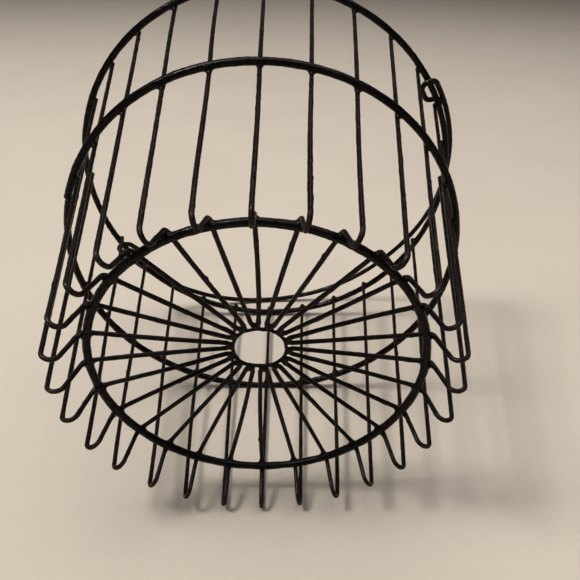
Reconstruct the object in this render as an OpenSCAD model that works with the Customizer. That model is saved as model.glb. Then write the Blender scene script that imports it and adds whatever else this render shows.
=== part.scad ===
// Egg collection basket: a welded wire basket with a swinging wire bail.
// Fourteen hairpin wires make the bottom spokes, the feet and the sides,
// and four round-wire rings hold them. Millimetres, +Z up.
// Origin: on the basket's axis, in the plane the feet stand on.
// The bail's hinge line runs along X; the bail is drawn folded towards +Y.

/* [Wire] */
// Diameter of the thin wire of the ribs
rib_d = 2.8; // [2.4:0.1:3.2]
// Diameter of the heavy wire of the three large rings
ring_d = 5.0; // [4.4:0.1:5.4]
// Diameter of the small hub ring's wire
hub_d = 2.4; // [2.0:0.1:2.8]
// Diameter of the bail's wire
bail_d = 4.2; // [3.8:0.1:4.3]
// How far two crossing wires sink into each other at a weld
weld = 0.5; // [0.3:0.05:0.7]

/* [Base] */
// Radius of the base ring's centre line
base_ring_r = 100; // [92:1:104]
// Height of the base ring's centre line
base_ring_z = 23.2; // [20:0.2:28]
// Radius of the hub ring's centre line
hub_ring_r = 16.7; // [16.2:0.1:17.4]
// Slope of the spokes, rising to the hub, in degrees
spoke_rise = 7.6; // [4:0.2:10]

/* [Feet and sides] */
// Radius of the circle that the foot bends' centres lie on
foot_r = 114.8; // [112:0.2:120]
// Bend radius of each foot, to the wire's centre line
foot_bend = 5.0; // [4:0.2:7]
// Bend radius of the hump over the base ring
hump_bend = 4.5; // [4.2:0.1:5.5]
// How far outside the base ring the hump's corner lies
hump_out = 3.8; // [3.4:0.1:5]
// Outward lean of the side wires, in degrees
side_lean = 7.66; // [5:0.1:11]
// Height of the belly hoop's centre line
belly_z = 136.4; // [100:1:180]
// Height of the top rim's centre line
rim_z = 254.4; // [230:0.5:280]
// How far the rib tips rise above the rim's centre line
tip_up = 3.5; // [2.6:0.1:3.6]
// Angle from the bail's hinge line to the nearest rib, in degrees
rib_start = 5.1; // [5.0:0.1:6.4]
// Where the belly hoop's butt weld sits, in degrees about the axis
belly_weld_at = 230; // [227:1:233]

/* [Bail] */
// Tilt of the folded bail from upright, in degrees
bail_tilt = 79.3; // [60:0.1:79.5]
// Angle between each eye and the plane of the bail, in degrees
eye_skew = 15.2; // [15:0.1:17]
// Gap between the rim's centre line and the eye's outer strand
eye_out = 4.9; // [4.8:0.05:5.2]
// Gap between the rim's centre line and the eye's inner strand
eye_in = 8.0; // [7.8:0.1:8.6]
// How far the eye reaches below the hinge line
eye_down = 11.0; // [10.8:0.1:11.2]
// Height at which the free end starts to bend back to the bail
tail_start = 4.2; // [4:0.1:5]
// Bend radius of the two bends in the free end
tail_bend = 6.0; // [5.6:0.1:6.6]
// How far the free end is carried across towards the bail
tail_shift = 9.4; // [8.8:0.1:9.6]
// Straight length left at the free end
tail_len = 5.0; // [3:0.1:6]
// Bend radius where the eye turns into the plane of the bail
kink_bend = 20; // [15:1:25]

/* [Hidden] */
$fn = 64;

thin_wire_color = [0.05, 0.05, 0.055];
heavy_wire_color = [0.04, 0.04, 0.045];
bail_color = [0.045, 0.045, 0.05];

rib_wire_r = rib_d / 2;
ring_wire_r = ring_d / 2;
hub_wire_r = hub_d / 2;
bail_wire_r = bail_d / 2;
butt_weld_up = 0.45;             // how far the belly hoop's weld stands proud

// Each run and bend stops joint_gap short of its ends, and a bead hardly thicker
// than the wire bridges every joint, so no two end faces lie on each other.
joint_gap = 0.1;
bead_up = 0.06;

wires = 14;                      // hairpin wires, two ribs on each
half_pitch = 180 / (2 * wires);  // half the angle between two ribs

function polar(length, angle) = length * [cos(angle), sin(angle)];

// ---- one rib's path, as [radius, height] in the upright plane through the axis ----
// The spokes' lines meet the axis at apex_z and rest on the base ring.
ring_to_rib = ring_wire_r + rib_wire_r - weld;
apex_z = base_ring_z + ring_to_rib / cos(spoke_rise) + base_ring_r * tan(spoke_rise);

// the drop runs straight from the hump's corner to touch the foot bend
corner_r = base_ring_r + hump_out;
hump_corner = [corner_r, apex_z - corner_r * tan(spoke_rise)];
foot_centre = [foot_r, rib_wire_r + foot_bend];
corner_to_foot = foot_centre - hump_corner;
foot_dist = norm(corner_to_foot);
drop_dir = atan2(corner_to_foot[1], corner_to_foot[0]) - asin(foot_bend / foot_dist);
drop_end = hump_corner + polar(sqrt(foot_dist * foot_dist - foot_bend * foot_bend), drop_dir);

// the hump rounds off the corner between spoke and drop
hump_turn = -spoke_rise - drop_dir;
hump_tangent = hump_bend * tan(hump_turn / 2);
spoke_end = hump_corner - polar(hump_tangent, -spoke_rise);
drop_start = hump_corner + polar(hump_tangent, drop_dir);
hump_centre = spoke_end + polar(hump_bend, -spoke_rise - 90);

side_dir = 90 - side_lean;
side_start = foot_centre + polar(foot_bend, side_dir - 90);
side_len = (rim_z + tip_up - side_start[1]) / sin(side_dir);

// centre-line radius of a heavy ring welded outside the side wires at height z
function ring_r_at(z) =
    side_start[0] + (z - side_start[1]) * tan(side_lean) + ring_to_rib / cos(side_lean);
belly_r = ring_r_at(belly_z);
rim_r = ring_r_at(rim_z);

// ---- the hairpin's turn, in the plane of its two spokes ----
pair_half = acos(cos(spoke_rise) * cos(spoke_rise) * cos(2 * half_pitch)
                 + sin(spoke_rise) * sin(spoke_rise)) / 2;  // half the angle between them
pair_pitch = atan2(sin(spoke_rise), cos(half_pitch) * cos(spoke_rise));
// The hub ring lies level with the turns and sinks into their inner sides;
// turn_at is how far from the axis each turn's centre line comes.
turn_at = hub_ring_r + hub_wire_r + rib_wire_r - weld;
hub_z = apex_z - turn_at * tan(pair_pitch);
turn_bend = turn_at / cos(pair_pitch) * sin(pair_half) / (1 - sin(pair_half));
turn_centre = turn_bend / sin(pair_half);        // from the apex
turn_end_dist = turn_centre * cos(pair_half);    // from the apex, along a spoke
spoke_len = norm(spoke_end - [0, apex_z]) - turn_end_dist;

// ---- bail, upright, with the hinge line at height 0 ----
bow_r = rim_r + eye_out;
kink_tangent = kink_bend * tan(eye_skew / 2);
// bottom bend and inner strand of the eye, then the S-bend in its free end
eye_bend = (eye_out + eye_in) / 2;
eye_mid_x = rim_r + (eye_out - eye_in) / 2;
eye_centre_z = -(eye_down - eye_bend);
inner_x = rim_r - eye_in;
tail_x = inner_x + tail_shift;
tail_turn = acos(1 - tail_shift / (2 * tail_bend));
tail_end_z = tail_start + 2 * tail_bend * sin(tail_turn);

// ---- wire helpers: a straight run, a bend, the bead between them, a closed ring ----
module run(start, dir, length, wire_r) {
    translate([start[0], start[1], 0]) rotate([0, 0, dir]) rotate([0, 90, 0])
        translate([0, 0, joint_gap])
            cylinder(h = length - 2 * joint_gap, r = wire_r);
}

module bend(centre, bend_r, from, sweep, wire_r) {
    trim = joint_gap / bend_r * 180 / PI;
    translate([centre[0], centre[1], 0]) rotate([0, 0, from + trim])
        rotate_extrude(angle = sweep - 2 * trim)
            translate([bend_r, 0]) circle(r = wire_r);
}

module joint(at, wire_r, turn = 0) {
    translate([at[0], at[1], 0]) rotate([0, 0, turn])
        sphere(r = wire_r + bead_up, $fn = 48);
}

module ring(ring_r, z, wire_r) {
    translate([0, 0, z]) rotate_extrude()
        translate([ring_r, 0]) circle(r = wire_r);
}

// ---- rib wires ----
// hump, foot and side of one rib
module leg() {
    rotate([90, 0, 0]) {
        joint(spoke_end, rib_wire_r);
        bend(hump_centre, hump_bend, drop_dir + 90, hump_turn, rib_wire_r);
        joint(drop_start, rib_wire_r);
        run(drop_start, drop_dir, norm(drop_end - drop_start), rib_wire_r);
        joint(drop_end, rib_wire_r);
        bend(foot_centre, foot_bend, drop_dir - 90, side_dir - drop_dir, rib_wire_r);
        joint(side_start, rib_wire_r);
        run(side_start, side_dir, side_len, rib_wire_r);
    }
}

// one hairpin wire: rim to foot to hub, round the turn, and back to the rim
module rib_wire(i) {
    color(thin_wire_color)
    rotate([0, 0, rib_start + half_pitch + (i - 1) * 360 / wires])
    union() {
        translate([0, 0, apex_z]) rotate([0, pair_pitch, 0]) {
            bend([turn_centre, 0], turn_bend, 90 + pair_half, 180 - 2 * pair_half, rib_wire_r);
            for (side = [-1, 1]) {
                turn_end = polar(turn_end_dist, side * pair_half);
                joint(turn_end, rib_wire_r);
                run(turn_end, side * pair_half, spoke_len, rib_wire_r);
            }
        }
        for (side = [-1, 1]) rotate([0, 0, side * half_pitch]) leg();
    }
}

// ---- rings ----
module hub_ring() {
    color(thin_wire_color) ring(hub_ring_r, hub_z, hub_wire_r);
}

module base_ring() {
    color(heavy_wire_color) ring(base_ring_r, base_ring_z, ring_wire_r);
}

module belly_hoop() {
    color(heavy_wire_color) union() {
        ring(belly_r, belly_z, ring_wire_r);
        rotate([0, 0, belly_weld_at]) translate([belly_r, 0, belly_z])
            sphere(r = ring_wire_r + butt_weld_up);
    }
}

module top_rim() {
    color(heavy_wire_color) ring(rim_r, rim_z, ring_wire_r);
}

// ---- bail: drawn upright about the hinge line, then laid over ----
// the +X eye, from the end of the bow to the free end
module eye() {
    // turn out of the plane of the eye into the plane of the bail
    translate([bow_r, 0, 0]) rotate([90, 0, 90]) {
        joint([0, kink_tangent], bail_wire_r);
        bend([kink_bend, kink_tangent], kink_bend, 180, eye_skew, bail_wire_r);
    }
    rotate([eye_skew, 0, 0]) rotate([90, 0, 0]) {
        // outer strand, bottom bend and inner strand
        joint([bow_r, -kink_tangent], bail_wire_r);
        run([bow_r, eye_centre_z], 90, -eye_centre_z - kink_tangent, bail_wire_r);
        joint([bow_r, eye_centre_z], bail_wire_r);
        bend([eye_mid_x, eye_centre_z], eye_bend, 180, 180, bail_wire_r);
        joint([inner_x, eye_centre_z], bail_wire_r);
        run([inner_x, eye_centre_z], 90, tail_start - eye_centre_z, bail_wire_r);
        // free end: across towards the bail, then straight up
        joint([inner_x, tail_start], bail_wire_r);
        bend([inner_x + tail_bend, tail_start], tail_bend,
             180 - tail_turn, tail_turn, bail_wire_r);
        joint([inner_x + tail_shift / 2, (tail_start + tail_end_z) / 2],
              bail_wire_r, -tail_turn);
        bend([tail_x - tail_bend, tail_end_z], tail_bend, -tail_turn, tail_turn, bail_wire_r);
        joint([tail_x, tail_end_z], bail_wire_r);
        run([tail_x, tail_end_z], 90, tail_len, bail_wire_r);
    }
}

module bail_handle() {
    color(bail_color)
    translate([0, 0, rim_z]) rotate([-bail_tilt, 0, 0]) union() {
        rotate([90, 0, 0]) bend([0, kink_tangent], bow_r, 0, 180, bail_wire_r);
        eye();
        mirror([1, 0, 0]) eye();
    }
}

rib_wire(1);  // rib_wire_01
rib_wire(2);  // rib_wire_02
rib_wire(3);  // rib_wire_03
rib_wire(4);  // rib_wire_04
rib_wire(5);  // rib_wire_05
rib_wire(6);  // rib_wire_06
rib_wire(7);  // rib_wire_07
rib_wire(8);  // rib_wire_08
rib_wire(9);  // rib_wire_09
rib_wire(10);  // rib_wire_10
rib_wire(11);  // rib_wire_11
rib_wire(12);  // rib_wire_12
rib_wire(13);  // rib_wire_13
rib_wire(14);  // rib_wire_14
hub_ring();
base_ring();
belly_hoop();
top_rim();
bail_handle();
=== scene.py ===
"""A coated steel wire basket with a swinging bail handle.

It stands upright on z = 0 with its axis on Z and the bail's hinge line along X. Fourteen wires
each make two ribs: down the side, round a foot, over the base ring and in along a spoke to a
hairpin turn at the hub. Sizes are in millimetres until a mesh, floor or camera is made.
In flat (rho, z) points, rho is the distance from the basket's axis.
"""
import bpy
import math
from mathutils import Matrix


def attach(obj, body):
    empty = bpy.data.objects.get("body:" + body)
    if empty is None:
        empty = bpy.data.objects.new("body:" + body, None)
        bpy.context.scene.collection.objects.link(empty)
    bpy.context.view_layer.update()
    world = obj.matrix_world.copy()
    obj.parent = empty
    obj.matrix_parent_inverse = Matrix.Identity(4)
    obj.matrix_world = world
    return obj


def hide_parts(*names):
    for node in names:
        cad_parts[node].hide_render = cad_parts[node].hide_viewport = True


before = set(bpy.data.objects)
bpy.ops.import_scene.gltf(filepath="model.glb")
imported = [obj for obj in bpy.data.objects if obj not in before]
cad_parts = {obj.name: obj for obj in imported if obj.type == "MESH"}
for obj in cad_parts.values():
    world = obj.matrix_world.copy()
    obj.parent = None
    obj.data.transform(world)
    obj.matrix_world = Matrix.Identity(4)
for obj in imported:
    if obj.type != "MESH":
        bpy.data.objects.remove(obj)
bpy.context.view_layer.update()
from types import SimpleNamespace

import numpy as np
from mathutils import Matrix, Vector

rng = np.random.RandomState(41)
DEG = math.pi / 180.0
MM = 0.001

# ------------------------------------------------------------------ driving sizes
RIB_R, HOOP_R, HUB_WIRE_R, BAIL_R = 1.4, 2.5, 1.2, 2.1      # wire radii
WELD = 0.5                          # how far two welded wires sink into each other
WIRES = 14
RIB_START = 5.1 * DEG               # azimuth of the first rib
BASE_RAD, BASE_Z = 100.0, 23.2      # base ring
HUB_RAD = 16.7
RISE = 7.6 * DEG                    # slope of the spokes, up towards the axis
HUMP_OUT, HUMP_BEND = 3.8, 4.5      # bend just outside the base ring
FOOT_RAD, FOOT_BEND = 114.8, 5.0    # foot bend's centre and radius
LEAN = 7.66 * DEG                   # outward lean of the side
BELLY_Z, RIM_Z = 136.4, 254.4
TIP_UP = 3.5                        # rib ends above the rim

BAIL_TILT = 79.3 * DEG              # from upright towards +Y
EYE_SKEW = 15.2 * DEG               # eye's plane against the bow's plane
EYE_OUT, EYE_IN, EYE_DOWN = 4.9, 8.0, 11.0    # eye's reach from the rim, and below the hinge
KINK_BEND = 20.0                    # bend between eye and bow
TAIL_START, TAIL_BEND, TAIL_SHIFT, TAIL_LEN = 4.2, 6.0, 9.4, 5.0    # S-shaped free end

# ------------------------------------------------------------------ derived sizes
RIBS = 2 * WIRES                    # ribs 2i and 2i + 1 share wire i
RIB_PITCH = 2 * math.pi / RIBS
WIRE_PITCH = 2 * math.pi / WIRES
HALF = RIB_PITCH / 2
OVERLAP_GAP = HOOP_R + RIB_R - WELD     # between a hoop's and a rib's centrelines


def direction(angle):
    return np.array([math.cos(angle), math.sin(angle)])


def spoke_at(rho):
    """Point (rho, z) on the spoke's line; the spokes' lines meet on the axis at apex_z."""
    return np.array([rho, apex_z - rho * math.tan(RISE)])


def side_at(z):
    """Point (rho, z) on the side's line."""
    return np.array([foot_outer[0] + (z - foot_outer[1]) * math.tan(LEAN), z])


apex_z = BASE_Z + OVERLAP_GAP / math.cos(RISE) + BASE_RAD * math.tan(RISE)
tip_z = RIM_Z + TIP_UP

# foot bend and the straight from the hump's corner down to it
hump_corner = spoke_at(BASE_RAD + HUMP_OUT)
foot_c = np.array([FOOT_RAD, RIB_R + FOOT_BEND])
to_foot = foot_c - hump_corner
foot_dist = float(np.linalg.norm(to_foot))
drop = math.atan2(to_foot[1], to_foot[0]) - math.asin(FOOT_BEND / foot_dist)
side_angle = 90 * DEG - LEAN
foot_inner = hump_corner + math.sqrt(foot_dist ** 2 - FOOT_BEND ** 2) * direction(drop)
foot_outer = foot_c + FOOT_BEND * direction(side_angle - 90 * DEG)

# hump bend, between the spoke and that straight
hump_turn = -RISE - drop
hump_tan = HUMP_BEND * math.tan(hump_turn / 2)
hump_inner = hump_corner - hump_tan * direction(-RISE)
hump_outer = hump_corner + hump_tan * direction(drop)
hump_c = hump_inner + HUMP_BEND * direction(-RISE - 90 * DEG)

# the hoops lie against the outside of the ribs
belly_rad, rim_rad = [side_at(z)[0] + OVERLAP_GAP / math.cos(LEAN) for z in (BELLY_Z, RIM_Z)]

# hairpin turn, in the sloping plane of a wire's two spokes
spoke_half = math.acos(math.cos(RISE) ** 2 * math.cos(2 * HALF) + math.sin(RISE) ** 2) / 2
turn_slope = math.atan2(math.sin(RISE), math.cos(HALF) * math.cos(RISE))
turn_rho = HUB_RAD + HUB_WIRE_R + RIB_R - WELD
hub_z = apex_z - turn_rho * math.tan(turn_slope)
turn_bend = (turn_rho / math.cos(turn_slope) * math.sin(spoke_half)
             / (1 - math.sin(spoke_half)))
turn_dist = turn_bend / math.sin(spoke_half)            # apex to the turn's centre
spoke_end_rho = turn_dist * math.cos(spoke_half) * math.cos(RISE)

# bail, upright, with the hinge line at height 0
bow_rad = rim_rad + EYE_OUT
eye_bend = (EYE_OUT + EYE_IN) / 2
eye_x = rim_rad + (EYE_OUT - EYE_IN) / 2
eye_y = -(EYE_DOWN - eye_bend)
inner_x = rim_rad - EYE_IN
kink_tan = KINK_BEND * math.tan(EYE_SKEW / 2)
tail_turn = math.acos(1 - TAIL_SHIFT / (2 * TAIL_BEND))
tail_mid_y = TAIL_START + 2 * TAIL_BEND * math.sin(tail_turn)

rib_jitter = rng.normal(0, 0.10, RIBS).clip(-0.22, 0.22) * DEG
rib_az = RIB_START + np.arange(RIBS) * RIB_PITCH + rib_jitter
wire_az = RIB_START + HALF + np.arange(WIRES) * WIRE_PITCH


# ------------------------------------------------------------------ lines and distances
def straight(start, end, step):
    start, end = np.array(start, float), np.array(end, float)
    count = max(2, int(math.ceil(np.linalg.norm(end - start) / step)) + 1)
    return start + (end - start) * np.linspace(0, 1, count)[:, None]


def arc(centre, radius, start, sweep, step):
    count = max(6, int(math.ceil(abs(sweep) * radius / step)) + 1)
    angle = start + sweep * np.linspace(0, 1, count)
    return np.stack([centre[0] + radius * np.cos(angle), centre[1] + radius * np.sin(angle)], 1)


def chain(parts):
    """Join polylines, each starting where the one before ends."""
    return np.concatenate([parts[0]] + [part[1:] for part in parts[1:]])


def arc_length(path):
    steps = np.linalg.norm(np.diff(path, axis=0), axis=1)
    return np.concatenate([[0], np.cumsum(steps)])


def turned(x, y, z, angle):
    """Points (x, y, z) turned about Z, stacked on a last axis."""
    cos, sin = np.cos(angle), np.sin(angle)
    return np.stack(np.broadcast_arrays(x * cos - y * sin, x * sin + y * cos, z), -1)


def wrap(angle):
    return np.angle(np.exp(1j * angle))


def angles_round(sides):
    return np.arange(sides) * 2 * math.pi / sides


def smooth_min(a, b, blend):
    h = np.maximum(blend - np.abs(a - b), 0) / blend
    return np.minimum(a, b) - h * h * blend * 0.25


def torus_distance(points, ring_rad, ring_z, wire_r):
    rho = np.hypot(points[..., 0], points[..., 1])
    return np.hypot(rho - ring_rad, points[..., 2] - ring_z) - wire_r


def line_distance(points, start, end):
    """Distance to a straight in the plane y = 0, whose ends are (rho, z)."""
    start, end = np.array([start[0], 0, start[1]]), np.array([end[0], 0, end[1]])
    line = end - start
    part = np.clip(((points - start) @ line) / (line @ line), 0, 1)
    return np.linalg.norm(points - start - part[..., None] * line, axis=-1)


# ------------------------------------------------------------------ coating surface
def wavy(waves, shortest, longest, seed):
    """A smooth random field of 3-D points, about -1 to 1; wavelengths in mm."""
    rand = np.random.RandomState(seed)
    heading = rand.normal(size=(waves, 3))
    heading /= np.linalg.norm(heading, axis=1)[:, None]
    number = 2 * math.pi / rand.uniform(shortest, longest, waves)
    phase = rand.uniform(0, 2 * math.pi, waves)

    def field(points):
        total = np.zeros(len(points))
        for i in range(waves):
            total += np.sin(points @ (heading[i] * number[i]) + phase[i])
        return total / math.sqrt(waves)
    return field


skin_slow = wavy(14, 9.0, 26.0, 5)
skin_fast = wavy(18, 2.6, 6.0, 6)


def skin(surface, slow, fast):
    """Coating thickness change over a surface (N, M, 3); slow and fast are heights in mm."""
    points = surface.reshape(-1, 3)
    return (slow * skin_slow(points) + fast * skin_fast(points)).reshape(surface.shape[:2])


def wear_patches(surface, scale, shift=0):
    points = surface.reshape(-1, 3) * scale + shift
    return np.clip(skin_slow(points), 0, 2).reshape(surface.shape[:2])


def lumps(s, around, wire_r, count, seed, heights, widths, loop_length=None, chance=None):
    """Rounded beads and runs of coating, as heights (along the wire, around it).

    chance, if given, is how likely a lump at a length along the wire is to be kept.
    """
    rand = np.random.RandomState(seed)
    total = loop_length or s[-1]
    out = np.zeros((len(s), len(around)))
    for _ in range(count):
        at_s, at_angle = rand.uniform(0, total), rand.uniform(0, 2 * math.pi)
        height = heights[0] + (heights[1] - heights[0]) * rand.uniform() ** 2.2
        width = rand.uniform(*widths)
        length = width * (1 + 2.2 * rand.uniform() ** 3)
        if chance is not None and rand.uniform() > chance(at_s):
            continue
        ds = np.abs(s - at_s)
        if loop_length:
            ds = np.minimum(ds, total - ds)
        near = np.nonzero(ds < 3.2 * length)[0]
        da = np.abs(around - at_angle)
        da = np.minimum(da, 2 * math.pi - da) * wire_r
        out[near] += height * np.exp(-(ds[near, None] / length) ** 2 - (da[None] / width) ** 2)
    return out


def along_wire(s, around, wire_r, shift):
    """Coordinates that run four times slower along the wire than round it, for streaks."""
    return np.stack(np.broadcast_arrays((s * 0.25 + shift)[:, None],
                                        wire_r * np.cos(around)[None],
                                        wire_r * np.sin(around)[None]), -1)


# ------------------------------------------------------------------ tubes
def frames(path):
    """Tangent and two normals that don't twist, along a polyline."""
    tangent = np.gradient(path, axis=0)
    tangent /= np.linalg.norm(tangent, axis=1)[:, None]
    normal = np.zeros_like(tangent)
    last = np.array([0.0, 0.0, 1.0]) if abs(tangent[0, 2]) < 0.9 else np.array([1.0, 0, 0])
    for i in range(len(path)):
        flat = last - tangent[i] * (last @ tangent[i])
        normal[i] = flat / np.linalg.norm(flat)
        last = normal[i]
    return tangent, normal, np.cross(tangent, normal)


def open_tube(path, wire_r, sides, cap, swell=0.0):
    """Bare tube with ends rounded over the length cap; swell thickens it near the ends."""
    s = arc_length(path)
    end_gap = np.minimum(s, s[-1] - s)
    radius = wire_r + swell * np.exp(-((end_gap - 1.6) / 1.3) ** 2)
    radius = radius * np.sqrt(np.clip(1 - (np.maximum(cap - end_gap, 0) / cap) ** 2, 0.02, 1))
    tangent, normal, binormal = frames(path)
    around = angles_round(sides)
    normals = (np.cos(around)[None, :, None] * normal[:, None]
               + np.sin(around)[None, :, None] * binormal[:, None])
    return SimpleNamespace(
        s=s, end_gap=end_gap, around=around, normals=normals,
        surface=path[:, None] + normals * radius[:, None, None],
        poles=[path[0] - tangent[0] * 0.02, path[-1] + tangent[-1] * 0.02])


def build(node, surface, wear, along, body, material, poles=None):
    """Mesh from rings of points (N, M, 3). Poles close its two ends; without them it is a loop."""
    rings, sides = surface.shape[:2]
    points, wear, along = surface.reshape(-1, 3), wear.reshape(-1), along.reshape(-1, 3)
    i = np.arange(rings if poles is None else rings - 1)[:, None]
    j = np.arange(sides)[None]
    next_i, next_j = (i + 1) % rings, (j + 1) % sides
    quads = np.stack([i * sides + j, i * sides + next_j,
                      next_i * sides + next_j, next_i * sides + j], -1).reshape(-1, 4)
    corners, totals = quads.ravel(), np.full(len(quads), 4)
    if poles is not None:
        pole = len(points)
        last = (rings - 1) * sides
        points = np.concatenate([points, np.array(poles)])
        wear = np.concatenate([wear, [wear[:sides].mean(), wear[-sides:].mean()]])
        along = np.concatenate([along, [along[:sides].mean(0), along[-sides:].mean(0)]])
        j, next_j = j[0], next_j[0]
        tris = np.concatenate([np.stack([np.full(sides, pole), next_j, j], 1),
                               np.stack([np.full(sides, pole + 1), last + j, last + next_j], 1)])
        corners = np.concatenate([corners, tris.ravel()])
        totals = np.concatenate([totals, np.full(len(tris), 3)])
    starts = np.cumsum(totals) - totals

    name = node + "_coated"
    mesh = bpy.data.meshes.new(name)
    mesh.vertices.add(len(points))
    mesh.vertices.foreach_set("co", (points * MM).astype(np.float32).ravel())
    mesh.loops.add(len(corners))
    mesh.loops.foreach_set("vertex_index", corners.astype(np.int32))
    mesh.polygons.add(len(starts))
    mesh.polygons.foreach_set("loop_start", starts.astype(np.int32))
    mesh.polygons.foreach_set("loop_total", totals.astype(np.int32))
    mesh.polygons.foreach_set("use_smooth", np.ones(len(starts), bool))
    wear_layer = mesh.attributes.new("wear", "FLOAT", "POINT")
    wear_layer.data.foreach_set("value", wear.astype(np.float32))
    along_layer = mesh.attributes.new("along", "FLOAT_VECTOR", "POINT")
    along_layer.data.foreach_set("vector", (along * MM).astype(np.float32).ravel())
    mesh.update(calc_edges=True)
    mesh.validate()
    ob = bpy.data.objects.new(name, mesh)
    bpy.context.scene.collection.objects.link(ob)
    mesh.materials.append(material)
    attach(ob, body)
    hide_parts(node)


# ------------------------------------------------------------------ shader nodes
class Graph:
    """Adds nodes to a tree. An input is given as a value, or as a socket to link from."""

    def __init__(self, tree):
        self.tree = tree

    def add(self, kind, inputs=None, **settings):
        node = self.tree.nodes.new("ShaderNode" + kind)
        for key, value in settings.items():
            setattr(node, key, value)
        for key, value in (inputs or {}).items():
            self.feed(node.inputs[key], value)
        return node

    def feed(self, socket, value):
        if isinstance(value, bpy.types.NodeSocket):
            self.tree.links.new(value, socket)
        else:
            socket.default_value = value

    def math(self, operation, *values, clamp=False):
        return self.add("Math", dict(enumerate(values)), operation=operation,
                        use_clamp=clamp).outputs[0]

    def noise(self, vector, scale, detail, roughness=0.5, distortion=0.0):
        return self.add("TexNoise", {"Vector": vector, "Scale": scale, "Detail": detail,
                                     "Roughness": roughness,
                                     "Distortion": distortion}).outputs[0]

    def remap(self, value, start, stop, low=0.0, high=1.0, curve="SMOOTHSTEP"):
        return self.add("MapRange", {"Value": value, "From Min": start, "From Max": stop,
                                     "To Min": low, "To Max": high},
                        interpolation_type=curve).outputs[0]

    def colours(self, mask, first, second):
        return self.add("Mix", {0: mask, 6: (*first, 1), 7: (*second, 1)},
                        data_type="RGBA").outputs[2]

    def bump(self, height, strength, distance):
        return self.add("Bump", {"Height": height, "Strength": strength,
                                 "Distance": distance}).outputs[0]


def new_material(name):
    material = bpy.data.materials.new(name)
    material.use_nodes = True
    material.node_tree.nodes.clear()
    return material, Graph(material.node_tree)


def coating(name, dark, worn, roughness, bump_depth, peel_size, wear_gain, seed):
    """Black dipped coating: uneven gloss, orange peel, streaks, brown-grey wear and dust.

    bump_depth is in metres and peel_size in millimetres.
    """
    material, graph = new_material(name)
    material.diffuse_color = (*dark, 1)
    place = graph.add("Mapping", {
        "Vector": graph.add("TexCoord").outputs["Object"],
        "Location": (seed * 0.37, seed * 0.21, seed * 0.11)}).outputs[0]
    along = graph.add("Attribute", attribute_name="along").outputs["Vector"]
    wear = graph.add("Attribute", attribute_name="wear").outputs["Fac"]

    peel = graph.noise(along, scale=1000.0 / peel_size, detail=2.0, roughness=0.45)
    streak = graph.noise(along, scale=1700.0, detail=3.0, roughness=0.55)
    grain = graph.noise(place, scale=1900.0, detail=3.0, roughness=0.6)
    blotch = graph.noise(place, scale=75.0, detail=4.0, roughness=0.6, distortion=0.4)
    speck = graph.noise(place, scale=1500.0, detail=2.0, roughness=0.5)
    scuff = graph.noise(place, scale=420.0, detail=5.0, roughness=0.65, distortion=0.8)
    scuffs = graph.remap(scuff, 0.50, 0.66)

    # worn places broken up by scuffs, then patches of dust and small specks everywhere
    worn_mask = graph.math("MULTIPLY", graph.math("MULTIPLY", wear, wear_gain),
                           graph.math("ADD", scuffs, 0.35))
    dust = graph.math("MULTIPLY", graph.remap(blotch, 0.42, 0.68), 0.14)
    specks = graph.math("MULTIPLY", graph.remap(speck, 0.66, 0.74), 0.30)
    mask = graph.math("ADD", worn_mask, dust, clamp=True)
    mask = graph.math("ADD", mask, specks, clamp=True)

    # gloss varies in blotches and streaks, and worn places are duller
    gloss = graph.math(
        "ADD", graph.remap(blotch, 0.35, 0.7, low=roughness - 0.06, high=roughness + 0.06),
        graph.remap(streak, 0.40, 0.62, low=-0.03, high=0.07))
    gloss = graph.math("ADD", gloss, graph.math("MULTIPLY", mask, 0.28))

    # weight of each layer of relief
    relief = graph.math("ADD", graph.math("MULTIPLY", peel, 1.0),
                        graph.math("MULTIPLY", grain, 0.28))
    marks = graph.math("ADD", graph.math("MULTIPLY", scuffs, -0.10),
                       graph.math("MULTIPLY", streak, 0.35))
    relief = graph.math("ADD", relief, marks)

    shader = graph.add("BsdfPrincipled", {
        "Base Color": graph.colours(mask, dark, worn),
        "Roughness": gloss,
        "Specular IOR Level": 0.30,
        "Specular Tint": (1.0, 0.90, 0.94, 1),
        "Normal": graph.bump(relief, strength=0.8, distance=bump_depth)})
    graph.add("OutputMaterial", {0: shader.outputs[0]})
    return material


ring_coating = coating(
    "coating_ring", dark=(0.0030, 0.0018, 0.0014), worn=(0.032, 0.017, 0.009), roughness=0.20,
    bump_depth=0.00042, peel_size=1.3, wear_gain=0.55, seed=1)
rib_coating = coating(
    "coating_rib", dark=(0.0066, 0.0042, 0.0034), worn=(0.060, 0.040, 0.029), roughness=0.24,
    bump_depth=0.00030, peel_size=1.0, wear_gain=0.70, seed=2)
bail_coating = coating(
    "coating_bail", dark=(0.0036, 0.0023, 0.0018), worn=(0.036, 0.022, 0.014), roughness=0.22,
    bump_depth=0.00030, peel_size=1.2, wear_gain=0.60, seed=3)


# ------------------------------------------------------------------ welds
# Each crossing has a fillet (blend, the reach of its smooth join) and a bead of coating.
def rib_welds(ring_rad, ring_z, lines, bead_rho, bead_z, blend, rho_off, z_off, bead_r):
    """Welds of all ribs to one hoop. lines are the rib's straights near it, as (rho, z) pairs.

    The last four are ranges for random values.
    """
    blend = rng.uniform(*blend, RIBS)
    rho = bead_rho + rng.uniform(*rho_off, RIBS)
    height = bead_z + rng.uniform(*z_off, RIBS)
    bead_r = rng.uniform(*bead_r, RIBS)
    sideways = rng.uniform(-0.6, 0.6, RIBS)
    return SimpleNamespace(ring_rad=ring_rad, ring_z=ring_z, lines=lines, blend=blend,
                           bead_c=turned(rho, sideways, height, rib_az), bead_r=bead_r)


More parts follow.
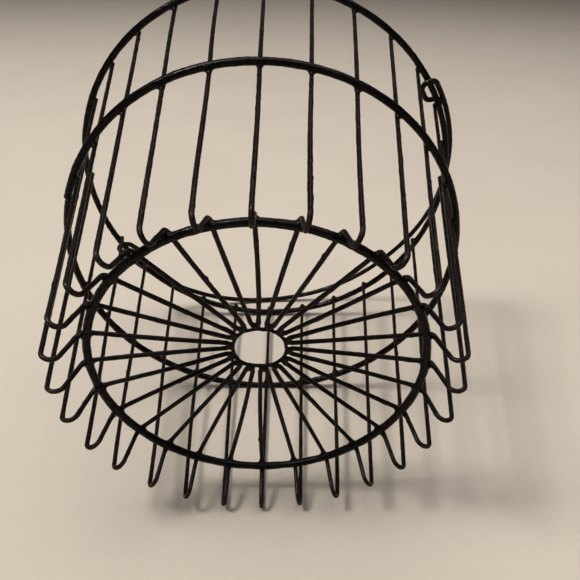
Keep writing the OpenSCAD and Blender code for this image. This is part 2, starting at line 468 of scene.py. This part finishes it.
BEAD_INSET = 0.25       # bead's centre below the hoop's surface
side_lines = [(foot_outer, side_at(tip_z - 0.6))]
base_lines = [(spoke_at(60.0), hump_inner),
              (hump_inner, (hump_inner + hump_outer + hump_corner) / 3),
              (hump_outer, foot_inner)]
rim_welds, belly_welds = [
    rib_welds(rad, z, side_lines, bead_rho=rad - HOOP_R + BEAD_INSET, bead_z=z,
              blend=(2.2, 3.8), rho_off=(-0.3, 0.2), z_off=(-1.0, 0.8), bead_r=(1.3, 1.85))
    for rad, z in ((rim_rad, RIM_Z), (belly_rad, BELLY_Z))]
base_welds = rib_welds(
    BASE_RAD, BASE_Z, base_lines, bead_rho=BASE_RAD, bead_z=BASE_Z + HOOP_R - BEAD_INSET,
    blend=(2.2, 3.9), rho_off=(-0.6, 0.9), z_off=(-0.3, 0.3), bead_r=(1.35, 1.95))


def turn_frame(azimuth):
    """Hairpin turn's centre, its outward direction down the slope, and its sideways direction."""
    out = np.array([math.cos(turn_slope) * math.cos(azimuth),
                    math.cos(turn_slope) * math.sin(azimuth), -math.sin(turn_slope)])
    sideways = np.array([-math.sin(azimuth), math.cos(azimuth), 0.0])
    return np.array([0, 0, apex_z]) + turn_dist * out, out, sideways


turn_c, turn_out, turn_side = map(np.array, zip(*[turn_frame(az) for az in wire_az]))
hub_blend = rng.uniform(1.4, 2.4, WIRES)
hub_bead_r = rng.uniform(1.25, 1.75, WIRES)
hub_off = rng.uniform(-0.7, 0.7, (WIRES, 2))
web_size = rng.uniform(0.75, 1.5, WIRES)        # coating that webs the inside of the turn
web_out = rng.uniform(-0.4, 1.2, WIRES)
hub_bead_c = (turned(HUB_RAD + HUB_WIRE_R - 0.1 + hub_off[:, 0] * 0.3, 0,
                     hub_z - 0.35 * np.abs(hub_off[:, 0]), wire_az)
              + turn_side * hub_off[:, 1:])


def grow(points, normals, other_wire, blend, bead_c, bead_r, bead_blend, limit):
    """How far a wire's surface rises to its smooth join with another wire and a bead.

    other_wire gives the distance from points to the other wire's surface.
    """
    height = np.zeros(len(points))
    for _ in range(5):
        moved = points + normals * height[:, None]
        gap = smooth_min(height, other_wire(moved), blend)
        bead = np.linalg.norm(moved - bead_c, axis=1) - bead_r
        height = np.clip(height - smooth_min(gap, bead, bead_blend), 0, limit)
    return height


def grow_hoop(points, normals, weld):
    """Rise of a hoop's surface towards the ribs."""
    az = np.arctan2(points[:, 1], points[:, 0])
    rib = np.round((az - RIB_START) / RIB_PITCH).astype(int) % RIBS
    near = np.abs(wrap(az - rib_az[rib]) * weld.ring_rad) < 10.0
    rib = rib[near]

    def rib_distance(moved):
        local = turned(moved[:, 0], moved[:, 1], moved[:, 2], -rib_az[rib])
        return np.min([line_distance(local, *ends) for ends in weld.lines], axis=0) - RIB_R

    height = np.zeros(len(points))
    height[near] = grow(points[near], normals[near], rib_distance, weld.blend[rib],
                        weld.bead_c[rib], weld.bead_r[rib], bead_blend=1.3, limit=1.6)
    return height


def grow_rib(points, normals, weld, rib):
    """Rise of one rib's surface towards a hoop."""
    def hoop_distance(moved):
        return torus_distance(moved, weld.ring_rad, weld.ring_z, HOOP_R)

    near = hoop_distance(points) < 6.0
    height = np.zeros(len(points))
    height[near] = grow(points[near], normals[near], hoop_distance, weld.blend[rib],
                        weld.bead_c[rib], weld.bead_r[rib], bead_blend=1.3,
                        limit=weld.blend[rib] * 0.25 + 0.45)
    return height


def grow_hub_ring(points, normals):
    """Rise of the hub ring's surface towards the hairpin turns."""
    az = np.arctan2(points[:, 1], points[:, 0])
    wire = np.round((az - RIB_START - HALF) / WIRE_PITCH).astype(int) % WIRES
    out, sideways = turn_out[wire], turn_side[wire]
    across = np.cross(out, sideways)

    def turn_distance(moved):
        local = moved - turn_c[wire]
        x, y, z = [(local * axis).sum(1) for axis in (out, sideways, across)]
        return np.hypot(np.hypot(np.minimum(x, 0), y) - turn_bend, z) - RIB_R

    return grow(points, normals, turn_distance, hub_blend[wire], hub_bead_c[wire],
                hub_bead_r[wire], bead_blend=1.0, limit=0.8)


def grow_turn(points, normals, wire):
    """Rise of a hairpin turn's surface towards the hub ring."""
    return grow(points, normals, lambda moved: torus_distance(moved, HUB_RAD, hub_z, HUB_WIRE_R),
                hub_blend[wire], hub_bead_c[wire], hub_bead_r[wire], bead_blend=1.0, limit=0.8)


# ------------------------------------------------------------------ rib wires
RIB_SIDES = 14


def leg_profile():
    """Tip to the spoke's inner end, as (rho, z), fine where the wire bends or is welded."""
    fine, coarse = 0.5, 1.4
    near_rim = side_at(RIM_Z - 7)
    above_belly, below_belly = side_at(BELLY_Z + 7), side_at(BELLY_Z - 7)
    above_foot = side_at(foot_outer[1] + 6)
    inside_base = spoke_at(BASE_RAD - 8)
    near_turn = spoke_at(spoke_end_rho + 5)
    return chain([
        straight(side_at(tip_z), near_rim, fine),
        straight(near_rim, above_belly, coarse),
        straight(above_belly, below_belly, fine),
        straight(below_belly, above_foot, coarse),
        straight(above_foot, foot_outer, 0.8),
        arc(foot_c, FOOT_BEND, side_angle - 90 * DEG, -(side_angle - drop), 0.5),
        straight(foot_inner, hump_outer, 0.6),
        arc(hump_c, HUMP_BEND, drop + 90 * DEG, hump_turn, 0.45),
        straight(hump_inner, inside_base, fine),
        straight(inside_base, near_turn, coarse),
        straight(near_turn, spoke_at(spoke_end_rho), fine)])


profile_rho, profile_z = leg_profile().T
profile_s = arc_length(np.stack([profile_rho, profile_z], 1))
s_rim = profile_s[np.argmin(np.abs(profile_z - RIM_Z))]
s_belly = profile_s[np.argmin(np.abs(profile_z - BELLY_Z))]
s_base = profile_s[np.argmin(np.abs(profile_rho - BASE_RAD))]


def bow_out(start, stop, half_waves=1):
    """Sine bow between two welds, zero outside them."""
    return np.sin(half_waves * math.pi * np.clip((profile_s - start) / (stop - start), 0, 1))


bow_upper = bow_out(s_rim, s_belly)
bow_lower = bow_out(s_belly, s_base)
bow_spoke = bow_out(s_base, profile_s[-1])
sway_lower = bow_out(s_belly, s_base, half_waves=2)


def leg(side, rib, rand):
    """One rib in the wire's own frame (wire's middle on +X), with a slight wander."""
    sideways = (rand.normal(0, 0.30) * bow_upper + rand.normal(0, 0.55) * bow_lower
                + rand.normal(0, 0.30) * bow_spoke + rand.normal(0, 0.20) * sway_lower)
    out = rand.normal(0, 0.22) * bow_upper + rand.normal(0, 0.25) * bow_lower
    up = np.abs(rand.normal(0, 0.22)) * bow_lower + rand.normal(0, 0.25) * bow_spoke
    rho = profile_rho + out
    # jitter and wander die away towards the hub
    azimuth = side * HALF + rib_jitter[rib] * np.clip((rho - 40) / 50, 0, 1)
    sideways = sideways * np.clip((rho - 22) / 20, 0, 1)
    return turned(rho, sideways, profile_z + up, azimuth)


def wire_path(wire):
    """Tip of the wire's first rib, round the hairpin turn, to the tip of its second."""
    rand = np.random.RandomState(300 + wire)
    first = leg(-1, 2 * wire, rand)
    second = leg(+1, 2 * wire + 1, rand)
    centre, out, sideways = turn_frame(0.0)
    angle = np.linspace(-(90 * DEG + spoke_half), -(270 * DEG - spoke_half), 19)[:, None]
    turn = centre + turn_bend * (np.cos(angle) * out + np.sin(angle) * sideways)
    path = np.concatenate([first[:-1], turn, second[::-1][1:]])
    return turned(path[:, 0], path[:, 1], path[:, 2], wire_az[wire])


def rib_joins(path, tube, surface, wire):
    """Rise of a wire's surface at its hoops, at the hub and in the web inside its turn."""
    height = np.zeros(surface.shape[:2])
    middle = len(path) // 2
    for part, rib in ((slice(0, middle), 2 * wire), (slice(middle, None), 2 * wire + 1)):
        points, normals = surface[part].reshape(-1, 3), tube.normals[part].reshape(-1, 3)
        for weld in (rim_welds, belly_welds, base_welds):
            grown = grow_rib(points, normals, weld, rib).reshape(-1, RIB_SIDES)
            height[part] = np.maximum(height[part], grown)
    from_middle = tube.s - tube.s[-1] / 2
    near = np.abs(from_middle) < 12
    grown = grow_turn(surface[near].reshape(-1, 3), tube.normals[near].reshape(-1, 3), wire)
    height[near] = np.maximum(height[near], grown.reshape(-1, RIB_SIDES))

    inward = turn_c[wire] + turn_out[wire] * (3.0 + web_out[wire]) - path
    inward /= np.linalg.norm(inward, axis=1)[:, None]
    facing = np.clip((tube.normals * inward[:, None]).sum(-1), 0, 1) ** 1.5
    web = 0.55 * web_size[wire] * np.exp(-(from_middle / 4.2) ** 4)[:, None] * facing
    return np.maximum(height, web)


def rib_wire(wire):
    path = wire_path(wire)
    # the coating gathers in a slight swelling at each end
    tube = open_tube(path, RIB_R, RIB_SIDES, cap=1.15, swell=0.16)
    end_fade = np.clip(tube.end_gap / 1.5, 0, 1)[:, None]
    relief = skin(tube.surface, slow=0.045, fast=0.028)
    relief += lumps(tube.s, tube.around, RIB_R, count=120, seed=900 + wire,
                    heights=(0.05, 0.34), widths=(0.55, 1.1))
    relief += lumps(tube.s, tube.around, RIB_R, count=8, seed=1900 + wire,
                    heights=(0.28, 0.80), widths=(0.7, 1.3))
    surface = tube.surface + tube.normals * (relief * end_fade)[..., None]
    joins = rib_joins(path, tube, surface, wire) * end_fade
    surface = surface + tube.normals * joins[..., None]

    # wear: patches, undersides of the feet, the humps and the welds
    rho = np.hypot(surface[..., 0], surface[..., 1])
    z = surface[..., 2]
    wear = 0.30 + 0.30 * wear_patches(tube.surface, 0.3, 40)
    wear += 0.9 * np.exp(-(np.clip(z - 0.2, 0, 99) / 3.0) ** 2)
    wear += 0.45 * np.exp(-((rho - 104) / 5) ** 2 - ((z - 26) / 5) ** 2)
    wear += 0.35 * np.clip(joins, 0, 1)
    build("rib_wire_%02d" % (wire + 1), surface, wear,
          along_wire(tube.s, tube.around, RIB_R, 100.0 * wire),
          "basket", rib_coating, tube.poles)


for wire in range(WIRES):
    rib_wire(wire)


# ------------------------------------------------------------------ rings
def hub_facets(rand, turn):
    """The hub ring is flatter and thinner between turns: changes in radius, height and wire."""
    place = (turn - RIB_START - HALF) / WIRE_PITCH
    cell = np.floor(place).astype(int) % WIRES
    part = place - np.floor(place)
    flat = rand.uniform(0.10, 0.62, WIRES)
    corner = rand.normal(0, 0.20, WIRES + 1).clip(-0.35, 0.35)
    corner[-1] = corner[0]
    out = (-flat[cell] * np.sin(math.pi * part)
           + corner[cell] * (1 - part) + corner[cell + 1] * part)
    return out, 0.25 * np.sin(3 * turn + 1.3), -0.14 * np.sin(math.pi * part)


def ring(node, ring_rad, ring_z, wire_r, sides, step, seed, seam, join,
         facets=None, skin_gain=1.0, rough_at=None):
    """A closed ring. seam is its azimuth, its step outward and up, and its bead's height.

    rough_at is the azimuth and angular width where lumps gather.
    """
    rand = np.random.RandomState(seed)
    count = int(round(2 * math.pi * ring_rad / step))
    turn = np.arange(count) * 2 * math.pi / count

    def wave(size):
        return sum(rand.normal(0, size) * np.cos(k * turn + rand.uniform(0, 6.3))
                   for k in (2, 3, 4, 5))

    # hand-rolled: a very slight wave in radius and height
    out = wave(0.10)
    up = wave(0.08)
    radius = np.full(count, wire_r)
    if facets:
        facet_out, facet_up, facet_wire = facets(rand, turn)
        out, up, radius = out + facet_out, up + facet_up, radius + facet_wire

    seam_az, seam_out, seam_up, seam_bead = seam
    from_seam = wrap(turn - seam_az) * ring_rad
    seam_step = np.tanh(from_seam / 0.8) * np.exp(-np.abs(from_seam) / 45.0)
    out = out + seam_out * seam_step
    up = up + seam_up * seam_step
    radius = radius + seam_bead * np.exp(-((from_seam - 0.3) / 1.5) ** 2)
    radius = radius - 0.35 * np.exp(-((from_seam + 1.9) / 0.55) ** 2)

    around = angles_round(sides)
    cos, sin = np.cos(around)[None], np.sin(around)[None]
    turn_col = turn[:, None]
    normals = turned(cos, 0, sin, turn_col)
    bare = (turned((ring_rad + out)[:, None], 0, (ring_z + up)[:, None], turn_col)
            + normals * radius[:, None, None])

    chance = None
    if rough_at:
        def chance(at_s):
            return 0.35 + 0.65 * math.exp(-(wrap(at_s / ring_rad - rough_at[0])
                                            / rough_at[1]) ** 2)
    relief = skin(bare, slow=0.07, fast=0.035) * skin_gain
    relief = relief + lumps(turn * ring_rad, around, wire_r,
                            count=int(2 * math.pi * ring_rad / 3.2), seed=seed + 7,
                            heights=(0.05, 0.42), widths=(0.7, 1.5),
                            loop_length=2 * math.pi * ring_rad, chance=chance)
    # three blobs round the wire at the seam
    relief = relief + (0.30 * np.exp(-(from_seam[:, None] / 2.2) ** 2)
                       * np.maximum(0, np.sin(3 * around + 1.0))[None] ** 2)
    surface = bare + normals * relief[..., None]
    joins = join(surface.reshape(-1, 3), normals.reshape(-1, 3)).reshape(count, sides)
    surface = surface + normals * joins[..., None]

    wear = 0.08 + 0.18 * wear_patches(bare, 0.35)
    wear += 0.55 * np.clip(joins, 0, 1)
    wear += 0.9 * np.exp(-(from_seam / 2.0) ** 2)[:, None]
    # a ring four times smaller, so that streaks follow the wire
    along = turned(0.25 * ring_rad + wire_r * cos, 0, wire_r * sin, turn_col) + seed * 3.0
    build(node, surface, wear, along, "basket", ring_coating)


def join_to(weld):
    return lambda points, normals: grow_hoop(points, normals, weld)


ring("top_rim", rim_rad, RIM_Z, HOOP_R, sides=20, step=0.62, seed=11,
     seam=(300 * DEG, 0.22, 0.25, 0.30), join=join_to(rim_welds))
ring("belly_hoop", belly_rad, BELLY_Z, HOOP_R, sides=20, step=0.60, seed=12,
     seam=(230 * DEG, 0.42, -0.35, 0.38), join=join_to(belly_welds))
ring("base_ring", BASE_RAD, BASE_Z, HOOP_R, sides=20, step=0.55, seed=13,
     seam=(200 * DEG, 0.35, 0.35, 0.42), join=join_to(base_welds),
     skin_gain=1.5, rough_at=(300.8 * DEG, 0.9))
ring("hub_ring", HUB_RAD, hub_z, HUB_WIRE_R, sides=16, step=0.42, seed=14,
     seam=(40 * DEG, 0.1, 0.1, 0.20), join=grow_hub_ring, facets=hub_facets)


# ------------------------------------------------------------------ bail
def upright_bail():
    """+X eye's free end, round the eye, over the bow, to the -X eye's free end."""
    flat = chain([
        straight([inner_x + TAIL_SHIFT, tail_mid_y + TAIL_LEN],
                 [inner_x + TAIL_SHIFT, tail_mid_y], 0.6),
        arc([inner_x + TAIL_SHIFT - TAIL_BEND, tail_mid_y], TAIL_BEND, 0, -tail_turn, 0.5),
        arc([inner_x + TAIL_BEND, TAIL_START], TAIL_BEND, 180 * DEG - tail_turn, tail_turn, 0.5),
        straight([inner_x, TAIL_START], [inner_x, eye_y], 0.6),
        arc([eye_x, eye_y], eye_bend, 180 * DEG, 180 * DEG, 0.5),
        straight([bow_rad, eye_y], [bow_rad, -kink_tan], 0.6)])
    eye = np.stack([flat[:, 0], -math.sin(EYE_SKEW) * flat[:, 1],
                    math.cos(EYE_SKEW) * flat[:, 1]], 1)
    # from the eye's plane into the bow's plane, in the plane x = bow_rad
    angle = 180 * DEG + EYE_SKEW * np.linspace(1, 0, 9)
    kink = np.stack([np.full(9, bow_rad), KINK_BEND + KINK_BEND * np.cos(angle),
                     kink_tan + KINK_BEND * np.sin(angle)], 1)
    angle = np.linspace(0, math.pi, 640)
    bow = np.stack([bow_rad * np.cos(angle), 0 * angle, kink_tan + bow_rad * np.sin(angle)], 1)
    mirror = [-1, 1, 1]
    return np.concatenate([eye[:-1], kink[:-1], bow, (kink * mirror)[::-1][1:],
                           (eye * mirror)[::-1][1:]])


def bail_path():
    path = upright_bail()
    s = arc_length(path)
    # a hand-bent bow wanders a little in and out of its plane, but not at the eyes
    fade = np.clip(np.minimum(s - 75, s[-1] - 75 - s) / 90, 0, 1)
    fade = fade * fade * (3 - 2 * fade)
    path = path + fade[:, None] * np.stack([
        0.0 * s, 0.7 * np.sin(s / 61.0 + 1) + 0.35 * np.sin(s / 23.0),
        -0.5 * (0.5 + 0.5 * np.sin(s / 47.0))], 1)
    cos, sin = math.cos(-BAIL_TILT), math.sin(-BAIL_TILT)
    path = np.stack([path[:, 0], cos * path[:, 1] - sin * path[:, 2],
                     sin * path[:, 1] + cos * path[:, 2] + RIM_Z], 1)
    # drop repeated points
    steps = np.linalg.norm(np.diff(path, axis=0), axis=1)
    return path[np.concatenate([[True], steps > 1e-4])]


def bail():
    tube = open_tube(bail_path(), BAIL_R, sides=18, cap=1.5)
    # smooth at the eyes, where it rubs
    amount = 0.25 + 0.75 * np.clip((tube.end_gap - 45) / 20, 0, 1)[:, None]
    relief = skin(tube.surface, slow=0.055, fast=0.03)
    relief = (relief + lumps(tube.s, tube.around, BAIL_R, count=110, seed=77,
                             heights=(0.04, 0.28), widths=(0.7, 1.4))) * amount
    relief = np.minimum(relief, 0.03 + 0.5 * (amount - 0.25))
    # wear: patches, the eyes and the middle of the bow
    wear = 0.28 + 0.35 * wear_patches(tube.surface, 0.3, 9)
    wear += (1.0 * np.exp(-((tube.end_gap - 31) / 11) ** 2))[:, None]
    wear += (0.5 * np.exp(-((tube.s - tube.s[-1] / 2) / 55) ** 2))[:, None]
    build("bail_handle", tube.surface + tube.normals * relief[..., None], wear,
          along_wire(tube.s, tube.around, BAIL_R, 55.0),
          "bail", bail_coating, tube.poles)


bail()

# ------------------------------------------------------------------ camera
# In the main view the basket lies on its side, and the camera sees its bottom from above.
CAMERA_TURN = np.array([0.678994, 0.160583, -0.501213])     # rotation vector, world to camera
ORIGIN_SEEN = np.array([-24.305587, 53.638774, 352.838836])     # basket's origin, camera axes, mm


def rotation_matrix(vector):
    angle = np.linalg.norm(vector)
    x, y, z = vector / angle
    cross = np.array([[0, -z, y], [z, 0, -x], [-y, x, 0]])
    return np.eye(3) + math.sin(angle) * cross + (1 - math.cos(angle)) * cross @ cross


camera_axes = rotation_matrix(CAMERA_TURN)      # rows: right, down and ahead
camera_place = -(camera_axes.T @ ORIGIN_SEEN) * MM
camera_data = bpy.data.cameras.new("camera")
camera_data.sensor_width = 36.0
camera_data.lens = 38.552897
camera_data.shift_x = -0.01760345
camera_data.shift_y = 0.01641379
camera_data.clip_start, camera_data.clip_end = 0.01, 50.0
camera = bpy.data.objects.new("camera", camera_data)
bpy.context.scene.collection.objects.link(camera)
camera_matrix = np.eye(4)
camera_matrix[:3, :3] = (camera_axes * [[1], [-1], [-1]]).T
camera_matrix[:3, 3] = camera_place
camera.matrix_world = Matrix(camera_matrix.tolist())
bpy.context.scene.camera = camera


def view_switch(graph, main):
    """1 when the camera is at its main place, or with main False, when it is elsewhere."""
    eye = graph.add("VectorTransform", {0: (0, 0, 0)}, vector_type="POINT",
                    convert_from="CAMERA", convert_to="WORLD").outputs[0]
    away = graph.add("VectorMath", {0: eye, 1: camera_place.tolist()},
                     operation="DISTANCE").outputs["Value"]
    return graph.math("LESS_THAN" if main else "GREATER_THAN", away, 0.01)


# ------------------------------------------------------------------ floors
LIE_AZ, LIE_SLOPE = 120.8 * DEG, 8.7 * DEG      # side it lies on, and that floor's slope
TOUCH_RAD, TOUCH_Z, TOUCH_GAP = 121.2, 6.4, 1.0     # where the lying basket meets the floor, mm
FLOOR_COLOUR = (0.62, 0.555, 0.48)
down = np.array([math.cos(LIE_SLOPE) * math.cos(LIE_AZ),
                 math.cos(LIE_SLOPE) * math.sin(LIE_AZ), -math.sin(LIE_SLOPE)])
touch = (turned(TOUCH_RAD, 0, TOUCH_Z, LIE_AZ) + down * TOUCH_GAP) * MM


def floor_material(name, centre, main, fade):
    """Pale matt floor, seen only in the main view or only in the others.

    It fades out between the two distances in fade, so that no horizon line shows.
    """
    material, graph = new_material(name)
    geometry = graph.add("NewGeometry").outputs
    position = geometry["Position"]
    fine = graph.noise(position, scale=300.0, detail=4.0)
    broad = graph.noise(position, scale=7.0, detail=3.0)
    mottle = graph.remap(graph.math("MULTIPLY_ADD", fine, 0.35, broad), 0.45, 0.95,
                         curve="LINEAR")
    shader = graph.add("BsdfPrincipled", {
        "Base Color": graph.colours(mottle, [c * 0.98 for c in FLOOR_COLOUR],
                                    [c * 1.02 for c in FLOOR_COLOUR]),
        "Roughness": 0.92,
        "Specular IOR Level": 0.15,
        "Normal": graph.bump(fine, strength=0.25, distance=0.0008)})
    away = graph.add("VectorMath", {0: position, 1: centre},
                     operation="DISTANCE").outputs["Value"]
    shown = graph.math("MULTIPLY", view_switch(graph, main),
                       graph.remap(away, *fade, low=1.0, high=0.0))
    # clear from behind, so that the underside can be looked at
    front = graph.math("SUBTRACT", 1.0, geometry["Backfacing"])
    shown = graph.math("MULTIPLY", shown, front)
    clear = graph.add("BsdfTransparent").outputs[0]
    mixed = graph.add("MixShader", {0: shown, 1: clear, 2: shader.outputs[0]})
    graph.add("OutputMaterial", {0: mixed.outputs[0]})
    return material


def floor(name, centre, normal, half_size, material):
    z = Vector(normal).normalized()
    x = z.orthogonal().normalized()
    y = z.cross(x)
    points = [Vector(centre) + x * a * half_size + y * b * half_size
              for a, b in ((-1, -1), (1, -1), (1, 1), (-1, 1))]
    mesh = bpy.data.meshes.new(name)
    mesh.from_pydata([tuple(point) for point in points], [], [(0, 1, 2, 3)])
    mesh.materials.append(material)
    ob = bpy.data.objects.new(name, mesh)
    bpy.context.scene.collection.objects.link(ob)


floor("floor_lying", touch, -down, half_size=30.0, material=floor_material(
    "floor_lying_mat", touch.tolist(), main=True, fade=(20.0, 30.0)))
floor("floor_level", (0, 0, -0.0002), (0, 0, 1), half_size=6.0, material=floor_material(
    "floor_level_mat", (0, 0, 0), main=False, fade=(0.9, 4.5)))

# ------------------------------------------------------------------ light
aim = Vector((0, 0, 0.13))
lying_up = Vector(-down)
left, to_camera = -Vector(camera_axes[0]), -Vector(camera_axes[2])


def lamp(name, offset, size, watts, colour, main):
    """Disk lamp aimed at the basket, lit only for the main view or only for the others."""
    light = bpy.data.lights.new(name, "AREA")
    light.shape = "DISK"
    light.size, light.energy, light.color = size, watts, colour
    ob = bpy.data.objects.new(name, light)
    place = aim + offset
    ob.location = place
    ob.rotation_mode = "QUATERNION"
    ob.rotation_quaternion = (aim - place).to_track_quat("-Z", "Y")
    bpy.context.scene.collection.objects.link(ob)
    light.use_nodes = True
    graph = Graph(light.node_tree)
    graph.feed(light.node_tree.nodes["Emission"].inputs["Strength"], view_switch(graph, main))


lamp("key_lying", (lying_up + left * 0.62 + to_camera * 0.22).normalized() * 4.4,
     size=1.15, watts=128, colour=(1.0, 0.99, 0.98), main=True)
lamp("ceiling_lying", (lying_up - left * 0.10 - to_camera * 0.10).normalized() * 3.0,
     size=3.6, watts=62, colour=(1.0, 0.99, 0.98), main=True)
lamp("top_soft", Vector((-0.6, 0.5, 4.0)),
     size=2.6, watts=125, colour=(1.0, 0.99, 0.98), main=False)
lamp("side_soft", Vector((-1.6, -2.0, 2.6)),
     size=1.4, watts=34, colour=(1.0, 0.985, 0.97), main=False)

# the room the lens sees is pale, the room that lights the wire is dim, so black stays black
world = bpy.data.worlds.new("studio")
bpy.context.scene.world = world
world.use_nodes = True
room = Graph(world.node_tree)
dim = world.node_tree.nodes["Background"]
room.feed(dim.inputs["Color"], (0.86, 0.88, 0.92, 1))
room.feed(dim.inputs["Strength"], 0.14)
pale = room.add("Background", {"Color": (0.66, 0.635, 0.595, 1), "Strength": 1.0})
seen = room.add("LightPath").outputs["Is Camera Ray"]
either = room.add("MixShader", {0: seen, 1: dim.outputs[0], 2: pale.outputs[0]})
room.feed(world.node_tree.nodes["World Output"].inputs["Surface"], either.outputs[0])

view = bpy.context.scene.view_settings
view.view_transform = "Standard"
view.look = "None"
view.exposure = 0.12
view.gamma = 0.76

bpy.context.view_layer.update()
